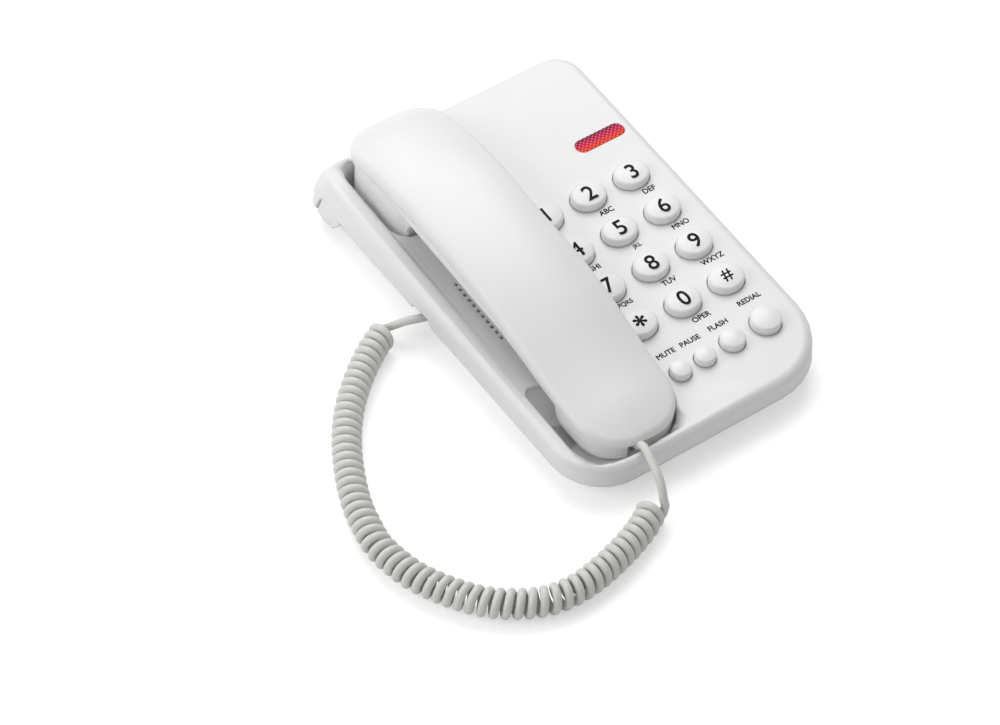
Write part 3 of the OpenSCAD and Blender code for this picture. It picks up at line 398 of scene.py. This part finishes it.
def under_h(v):
    """Height of the handset's underside, between its two ends."""
    return max(min(part_h(v) - 5, 6), -1.2)


def arc(cx, cy, r, a0, a1, n):
    """Points along a part of a circle, from one angle to another."""
    return [(cx + r * math.cos(math.radians(a0 + (a1 - a0) * i / (n - 1))),
             cy + r * math.sin(math.radians(a0 + (a1 - a0) * i / (n - 1)))) for i in range(n)]


def handset_outline(d, n=20, side=26):
    """The handset's edge seen from above, set in by d, slightly narrower towards both ends."""
    v0, v1 = HS_FRONT + NOSE_R, HS_REAR - TAIL_R
    runs = [v0 + (v1 - v0) * i / (side + 1) for i in range(1, side + 1)]
    points = (arc(HS_X + HS_HALF - NOSE_R, v0, NOSE_R - d, -90, 0, n) + [(HS_X + HS_HALF - d, v) for v in runs]
              + arc(HS_X + HS_HALF - TAIL_R, v1, TAIL_R - d, 0, 90, n)
              + arc(HS_X - HS_HALF + TAIL_R, v1, TAIL_R - d, 90, 180, n)
              + [(HS_X - HS_HALF + d, v) for v in reversed(runs)]
              + arc(HS_X - HS_HALF + NOSE_R, v0, NOSE_R - d, 180, 270, n))
    middle, reach = (HS_FRONT + HS_REAR) / 2, (HS_REAR - HS_FRONT) / 2
    return [(HS_X + (x - HS_X) * (1 - (0.06 if v < middle else 0.02) * ((v - middle) / reach) ** 2)
             - (WAIST * math.exp(-((v - WAIST_AT) / WAIST_L) ** 2) if x > HS_X else 0), v) for x, v in points]


def handset_ring(d, height, rise=0.0, inward=0.0, crown=0.0):
    """A ring at a height over the outline. Inward draws it towards the spine, over the crown of the back."""
    points = []
    for x, v in handset_outline(d):
        spine = min(max(v, HS_FRONT + SPINE_FRONT), HS_REAR - SPINE_REAR)
        v2 = v * (1 - inward) + spine * inward
        h = height(v2) + rise + crown * (1 - (1 - inward) ** 2)
        points.append((x * (1 - inward) + HS_X * inward, v2, h))
    return points


EDGE_R = 3.6                                      # rounding of the back's edge
CROWN_FROM = 18                                   # the angle at which the edge runs over into the crown
back = [handset_ring(2.2, part_h, 2), handset_ring(1.2, part_h, 0.5), handset_ring(0.75, part_h, 0.1),
        handset_ring(0.45, part_h, 0.25), handset_ring(0.3, part_h, 0.7)]
for turn in range(90, CROWN_FROM - 1, -8):
    back.append(handset_ring(EDGE_R * (1 - math.sin(math.radians(turn))), edge_h,
                             EDGE_R * math.cos(math.radians(turn)) - 3.3))
last = back[-1][0][2] - edge_h(back[-1][0][1])
for inward in (0.08, 0.16, 0.25, 0.35, 0.46, 0.58, 0.7, 0.82, 0.92, 1):
    back.append(handset_ring(EDGE_R * (1 - math.sin(math.radians(CROWN_FROM))), edge_h, last, inward,
                             HS_CROWN))
handset_back = finish_mesh("handset_back", loft(back, DECK, (True, False)), shell_white, "handset",
                           math.radians(50))
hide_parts("handset_top_shell")

bowl = [handset_ring(3, part_h, 0.3), handset_ring(1.2, part_h, 0.3), handset_ring(0.7, part_h, -0.05),
        handset_ring(0.4, part_h, -0.35)]
for turn in range(0, 91, 9):
    s, c = math.sin(math.radians(turn)), math.cos(math.radians(turn))
    points = []
    for x, v in handset_outline(0.5 + 6.5 * (1 - c)):
        low = under_h(v)
        points.append((x, v, low + 4.6 * (1 - s) * min((part_h(v) - low) / 5, 1)))
    bowl.append(points)
bowl.append(handset_ring(7, under_h, 0, 0.93))


def lobe(slices):
    """One end of the handset that hangs down into its well, from slices: place, half width and depth."""
    loops = []
    for v, half, depth in spline(slices, 5):
        r = LOBE_R
        top = max(under_h(v) + 2, 0.6 - depth + r)
        loops.append([(HS_X - half, v, top)]
                     + [(x, v, h) for x, h in arc(HS_X - half + r, r - depth, r, 180, 270, 9)]
                     + [(x, v, h) for x, h in arc(HS_X + half - r, r - depth, r, 270, 360, 9)]
                     + [(HS_X + half, v, top)])
    return loft(loops, DECK)


ear = HS_HALF - 0.8
mouth = HS_HALF - 1.4
ear_slices = [(EAR_FROM - 9.5, ear - 1.5, -6.3), (EAR_FROM - 6, ear - 1.2, -5.6),
              (EAR_FROM - 3.4, ear - 1.2, -4), (EAR_FROM - 1.4, ear - 1.2, -1),
              (EAR_FROM - 0.4, ear - 1.4, 4), (EAR_FROM, ear - 2, 10),
              (EAR_FROM + 1.2, ear - 2, 14), (EAR_FROM + 4, ear - 1, EAR_DEPTH),
              (EAR_FROM + 9, ear - 0.1, EAR_DEPTH), (EAR_TO - 20, ear, EAR_DEPTH),
              (EAR_TO - 13, ear - 0.1, EAR_DEPTH), (EAR_TO - 7, ear - 1.2, EAR_DEPTH),
              (EAR_TO - 3, ear - 3.6, EAR_DEPTH - 0.8), (EAR_TO - 0.8, ear - 6, EAR_DEPTH - 2.4),
              (EAR_TO, ear - 8.5, EAR_DEPTH - 4)]
mouth_slices = [(MOUTH_TO + 8, mouth - 3, -2.4), (MOUTH_TO + 3, mouth - 2, -1),
                (MOUTH_TO - 1, mouth - 1.1, 3), (MOUTH_TO - 5, mouth - 0.4, MOUTH_DEPTH - 0.4),
                (MOUTH_TO - 10, mouth, MOUTH_DEPTH),
                (HS_FRONT + 17.5, mouth - 0.2, MOUTH_DEPTH), (HS_FRONT + 11.5, mouth - 1.6, MOUTH_DEPTH),
                (HS_FRONT + 7.5, mouth - 4, MOUTH_DEPTH - 0.2),
                (HS_FRONT + 4.3, mouth - 7.6, MOUTH_DEPTH - 0.6),
                (HS_FRONT + 2.2, mouth - 11.5, MOUTH_DEPTH - 1.2),
                (HS_FRONT + 1.3, mouth - 15, MOUTH_DEPTH - 2)]
joined = bmesh.new()
for part in (loft(bowl, DECK), lobe(ear_slices), lobe(mouth_slices)):
    scrap = bpy.data.meshes.new("scrap")
    part.to_mesh(scrap)
    part.free()
    joined.from_mesh(scrap)
    bpy.data.meshes.remove(scrap)
handset_under = finish_mesh("handset_under", joined, shell_white, None, 0)
# One skin over the bowl and its two ends, eased where they run into each other.
remesh = handset_under.modifiers.new("one_skin", "REMESH")
remesh.mode = "VOXEL"
remesh.voxel_size = 0.75 * MM
ease = handset_under.modifiers.new("ease", "SMOOTH")
ease.factor, ease.iterations = 0.5, 8
baked(handset_under)
# The notch under the nose, where the cord comes out.
cutter_bm = bmesh.new()
bmesh.ops.create_cube(cutter_bm, size=1, matrix=DECK @ Matrix.LocRotScale(
    mm(HS_X - 5, HS_FRONT + 2, -1.3), None, mm(8.8, 9, 9.8)))
cutter = finish_mesh("notch", cutter_bm, shell_white, None, 0)
cut = handset_under.modifiers.new("notch", "BOOLEAN")
cut.operation, cut.object, cut.solver = "DIFFERENCE", cutter, "EXACT"
baked(handset_under)
bpy.data.objects.remove(cutter)
handset_under.data.shade_smooth()
handset_under.data.set_sharp_from_angle(angle=math.radians(50))
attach(handset_under, "handset")
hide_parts("handset_bottom_shell")

# ---------------------------------------------------------------- base shells

for node, name in (("top_housing", "base_cover"), ("bottom_housing", "base_tray")):
    skin = finish_mesh(name, copy_of(node), moulded_white, None, math.radians(32))
    even = skin.modifiers.new("even_shading", "WEIGHTED_NORMAL")
    even.keep_sharp = True
    even.mode = "FACE_AREA"
    even.weight = 80
    baked(skin)
    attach(skin, "base")
    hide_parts(node)

# ---------------------------------------------------------------- keys

PITCH = 22.5
LAST_COL = RIGHT - 19.75
COLS = [LAST_COL - 2 * PITCH, LAST_COL - PITCH, LAST_COL]
ROW = FRONT + 55.65
FN_ROW = ROW - 26.9
RISE = 4.3                                        # how far a key's top stands over the deck


def cap_skin(x, y, across, deep, edge, crown):
    """A key cap: an oval that goes down into its opening, with a rounded edge and a crowned top."""
    around = [2 * math.pi * k / 72 for k in range(72)]
    loops = []

    def oval(inset, h, share=1.0):
        half_w, half_d = share * (across / 2 - inset), share * (deep / 2 - inset)
        loops.append([(x + half_w * math.cos(a), y + half_d * math.sin(a), h) for a in around])

    oval(0, -4)
    oval(0, -1)
    for turn in range(90, -1, -15):
        s, c = math.sin(math.radians(turn)), math.cos(math.radians(turn))
        oval(edge * (1 - s), RISE - crown - edge * (1 - c))
    for share in (0.85, 0.66, 0.45, 0.22, 0.03):
        oval(edge, RISE - crown * share ** 2, share)
    return loft(loops, DECK)


# Each key's place, width, depth, edge rounding and crown.
NUMBER_CAP = (16.4, 13.8, 1.5, 0.6)
caps = {}
for i, name in enumerate(("key_star", "key_0", "key_hash", "key_7", "key_8", "key_9", "key_4", "key_5", "key_6",
                          "key_1", "key_2", "key_3")):
    caps[name] = (COLS[i % 3], ROW + PITCH * (i // 3), *NUMBER_CAP)
caps["key_redial"] = (COLS[2] + 0.85, FN_ROW + 0.75, 13.4, 13.4, 1.2, 0.8)
caps["key_flash"] = (COLS[1] + 5.35, FN_ROW - 0.25, 10.8, 10.8, 1.2, 0.7)
caps["key_pause"] = (COLS[1] - 9.35, FN_ROW - 1.05, 9.1, 9.1, 1.1, 0.6)
caps["key_mute"] = (COLS[0] + 0.35, FN_ROW - 1.45, 9.1, 9.1, 1.1, 0.6)
for name, values in caps.items():
    cap = finish_mesh(name + "_cap", cap_skin(*values), key_white, name + "_cap", math.radians(50))
    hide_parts(name)

# ---------------------------------------------------------------- lettering


DIGIT_H, HASH_H, STAR_H, GROUP_H, WORD_H = 7.7, 5.9, 6.2, 2.7, 2.6
PRINT_RISE = 0.02


def lettering(words, x, y, h, height, body, bold):
    """Printed words lying on the deck's slope, with their middle at x, y."""
    curve = bpy.data.curves.new(words, "FONT")
    curve.body = words
    curve.align_x = "CENTER"
    curve.align_y = "CENTER"
    curve.size = 1.0
    curve.bevel_depth = bold
    curve.bevel_resolution = 0
    curve.extrude = 0.01
    curve.resolution_u = 4
    flat = bpy.data.objects.new(words, curve)
    bpy.context.scene.collection.objects.link(flat)
    graph = bpy.context.evaluated_depsgraph_get()
    graph.update()
    mesh = bpy.data.meshes.new_from_object(flat.evaluated_get(graph))
    bpy.data.objects.remove(flat)
    low = [min(v.co[i] for v in mesh.vertices) for i in range(2)]
    high = [max(v.co[i] for v in mesh.vertices) for i in range(2)]
    tall = height / (high[1] - low[1]) * MM
    mesh.transform(on_deck(x, y, h) @ Matrix.Diagonal((tall, tall, 3 * MM, 1))
                   @ Matrix.Translation((-(low[0] + high[0]) / 2, -(low[1] + high[1]) / 2, 0)))
    mesh.materials.clear()
    mesh.materials.append(ink)
    spoken = {"*": "star", "#": "hash"}.get(words, words.lower())
    piece = bpy.data.objects.new("print_" + spoken, mesh)
    bpy.context.scene.collection.objects.link(piece)
    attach(piece, body)


for sign in "1234567890#":
    name = "key_hash" if sign == "#" else "key_" + sign
    lettering(sign, caps[name][0], caps[name][1], RISE, HASH_H if sign == "#" else DIGIT_H,
              name + "_cap", 0.012)
lettering("*", caps["key_star"][0], caps["key_star"][1], RISE, STAR_H, "key_star_cap", 0.02)
for name, group in (("key_2", "ABC"), ("key_3", "DEF"), ("key_4", "GHI"), ("key_5", "JKL"), ("key_6", "MNO"),
                    ("key_7", "PQRS"), ("key_8", "TUV"), ("key_9", "WXYZ"), ("key_0", "OPER")):
    lettering(group, caps[name][0] + 2.5, caps[name][1] - 9.5, PRINT_RISE, GROUP_H, "base", 0.022)
for word, x, y in (("REDIAL", 48.1, -61), ("FLASH", 28.9, -65), ("PAUSE", 14.2, -65.4), ("MUTE", 1.8, -65.5)):
    lettering(word, x, y, PRINT_RISE, WORD_H, "base", 0.022)

# ---------------------------------------------------------------- lamp window

LENS_X, LENS_Y, LENS_L, LENS_W = RIGHT - 18.2, 44.6, 25.2, 7.6
# The dot grid's pitch, and the width over which the window's painted shade runs from the lit front to the dark
# rear edge.
DOT_PITCH, PAINTED_SHADE_W = 1.5, 6
lamp_glass = material("lamp_glass", (0.75, 0.03, 0.06), 0.45, IOR=1.2)
place = add(lamp_glass, "ShaderNodeTexCoord")
spread = add(lamp_glass, "ShaderNodeMapping")
spread.inputs["Location"].default_value = (-LENS_X * MM, -LENS_Y * MM, 0)
wire(lamp_glass, place, "Object", spread, "Vector")
turned = add(lamp_glass, "ShaderNodeMapping")
turned.inputs["Rotation"].default_value = (0, 0, math.radians(45))
turned.inputs["Scale"].default_value = (1 / (DOT_PITCH * MM), 1 / (DOT_PITCH * MM), 0)
wire(lamp_glass, spread, "Vector", turned, "Vector")
# Bright dots in a slanting grid, over a red with painted shade: dark purple at the rear edge, with painted
# light turning it orange-red towards the front.
dots = add(lamp_glass, "ShaderNodeTexVoronoi", Randomness=0.0, Scale=1.0)
wire(lamp_glass, turned, "Vector", dots, "Vector")
dot = add(lamp_glass, "ShaderNodeMapRange")
dot.inputs["From Min"].default_value = 0.3
dot.inputs["From Max"].default_value = 0.12
wire(lamp_glass, dots, "Distance", dot, "Value")
split = add(lamp_glass, "ShaderNodeSeparateXYZ")
wire(lamp_glass, spread, "Vector", split, "Vector")
# Painted light and shade: a share that falls from the front of the window to its rear edge.
painted_shade_share = add(lamp_glass, "ShaderNodeMath", operation="MULTIPLY_ADD")
wire(lamp_glass, split, "Y", painted_shade_share, 0)
painted_shade_share.inputs[1].default_value = -1 / (PAINTED_SHADE_W * MM)
painted_shade_share.inputs[2].default_value = 0.5
# Painted shade at the rear edge, dark purple, into painted light towards the front, orange-red.
painted_light_ramp = add(lamp_glass, "ShaderNodeValToRGB")
ramp = painted_light_ramp.color_ramp
ramp.elements[0].color = (0.1, 0.0, 0.07, 1)
ramp.elements[1].color = (0.75, 0.04, 0.015, 1)
middle = ramp.elements.new(0.5)
middle.color = (0.6, 0.0, 0.09, 1)
wire(lamp_glass, painted_shade_share, "Value", painted_light_ramp, "Fac")
bright = add(lamp_glass, "ShaderNodeMix", data_type="RGBA")
wire(lamp_glass, dot, "Result", bright, "Factor")
wire(lamp_glass, painted_light_ramp, "Color", bright, 6)
bright.inputs[7].default_value = (0.95, 0.3, 0.12, 1)
wire(lamp_glass, bright, 2, shader_of(lamp_glass), "Base Color")


def pill(inset, h):
    """The lamp window's outline, set in and at a height over the deck."""
    r = LENS_W / 2 - inset
    half = (LENS_L - LENS_W) / 2
    points = arc(half, 0, r, -90, 90, 20) + arc(-half, 0, r, 90, 270, 20)
    return [(LENS_X + x, LENS_Y + y, h) for x, y in points]


lens = finish_mesh("lamp_window", loft([pill(0, -3), pill(0, -0.2), pill(0.12, -0.05), pill(0.4, 0.03),
                                        pill(1.4, 0.08), pill(2.5, 0.1), pill(3.75, 0.1)], DECK),
                   lamp_glass, "base", math.radians(50))
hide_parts("indicator_lens")

# ---------------------------------------------------------------- finishes of the solids

FINISH = {"shell": shell_white, "keycap": key_white, "steel": steel, "rubber": black_rubber,
          "board": board_green, "lens": lamp_red, "lamp": lamp_red, "dark_plastic": dark_plastic,
          "clear_plastic": clear_plastic, "cord": cord_white}
for part in frame["record"]["subparts"]:
    node = frame["nodes"][part["node"]]
    node.data.materials.clear()
    node.data.materials.append(FINISH[part["material_slot"]])

# ---------------------------------------------------------------- floor and light

FLOOR_HALF, FLOOR_GLOW, WORLD_LIGHT = 6, 0.38, 0.42


def area_light(name, place, size, watts):
    """A soft square lamp that looks at the phone."""
    aim = Vector((0, 0, 0.02))
    data = bpy.data.lights.new(name, "AREA")
    data.energy = watts
    data.shape = "RECTANGLE"
    data.size = data.size_y = size
    lamp = bpy.data.objects.new(name, data)
    lamp.location = place
    lamp.rotation_euler = (Vector(place) - aim).to_track_quat("Z", "Y").to_euler()
    bpy.context.scene.collection.objects.link(lamp)


floor_bm = bmesh.new()
bmesh.ops.create_grid(floor_bm, x_segments=1, y_segments=1, size=FLOOR_HALF)
floor_mesh = bpy.data.meshes.new("floor")
floor_bm.to_mesh(floor_mesh)
floor_bm.free()
floor = bpy.data.objects.new("floor", floor_mesh)
bpy.context.scene.collection.objects.link(floor)
floor_white = material("floor_white", (0.9, 0.9, 0.9), 0.6)
paths = add(floor_white, "ShaderNodeLightPath")
glow = add(floor_white, "ShaderNodeMath", operation="MULTIPLY")
glow.inputs[1].default_value = FLOOR_GLOW
wire(floor_white, paths, "Is Camera Ray", glow, 0)
shader_of(floor_white).inputs["Emission Color"].default_value = (1, 1, 1, 1)
wire(floor_white, glow, 0, shader_of(floor_white), "Emission Strength")
floor_mesh.materials.append(floor_white)

world = bpy.data.worlds.new("studio")
world.use_nodes = True
world.node_tree.nodes["Background"].inputs["Color"].default_value = (1, 1, 1, 1)
world.node_tree.nodes["Background"].inputs["Strength"].default_value = WORLD_LIGHT
bpy.context.scene.world = world
area_light("key_light", (0.3, 0.64, 1.03), 1.0, 9.4)
area_light("fill_light", (-0.95, 0.25, 0.6), 0.8, 4.2)

bpy.context.scene.view_settings.view_transform = "Standard"
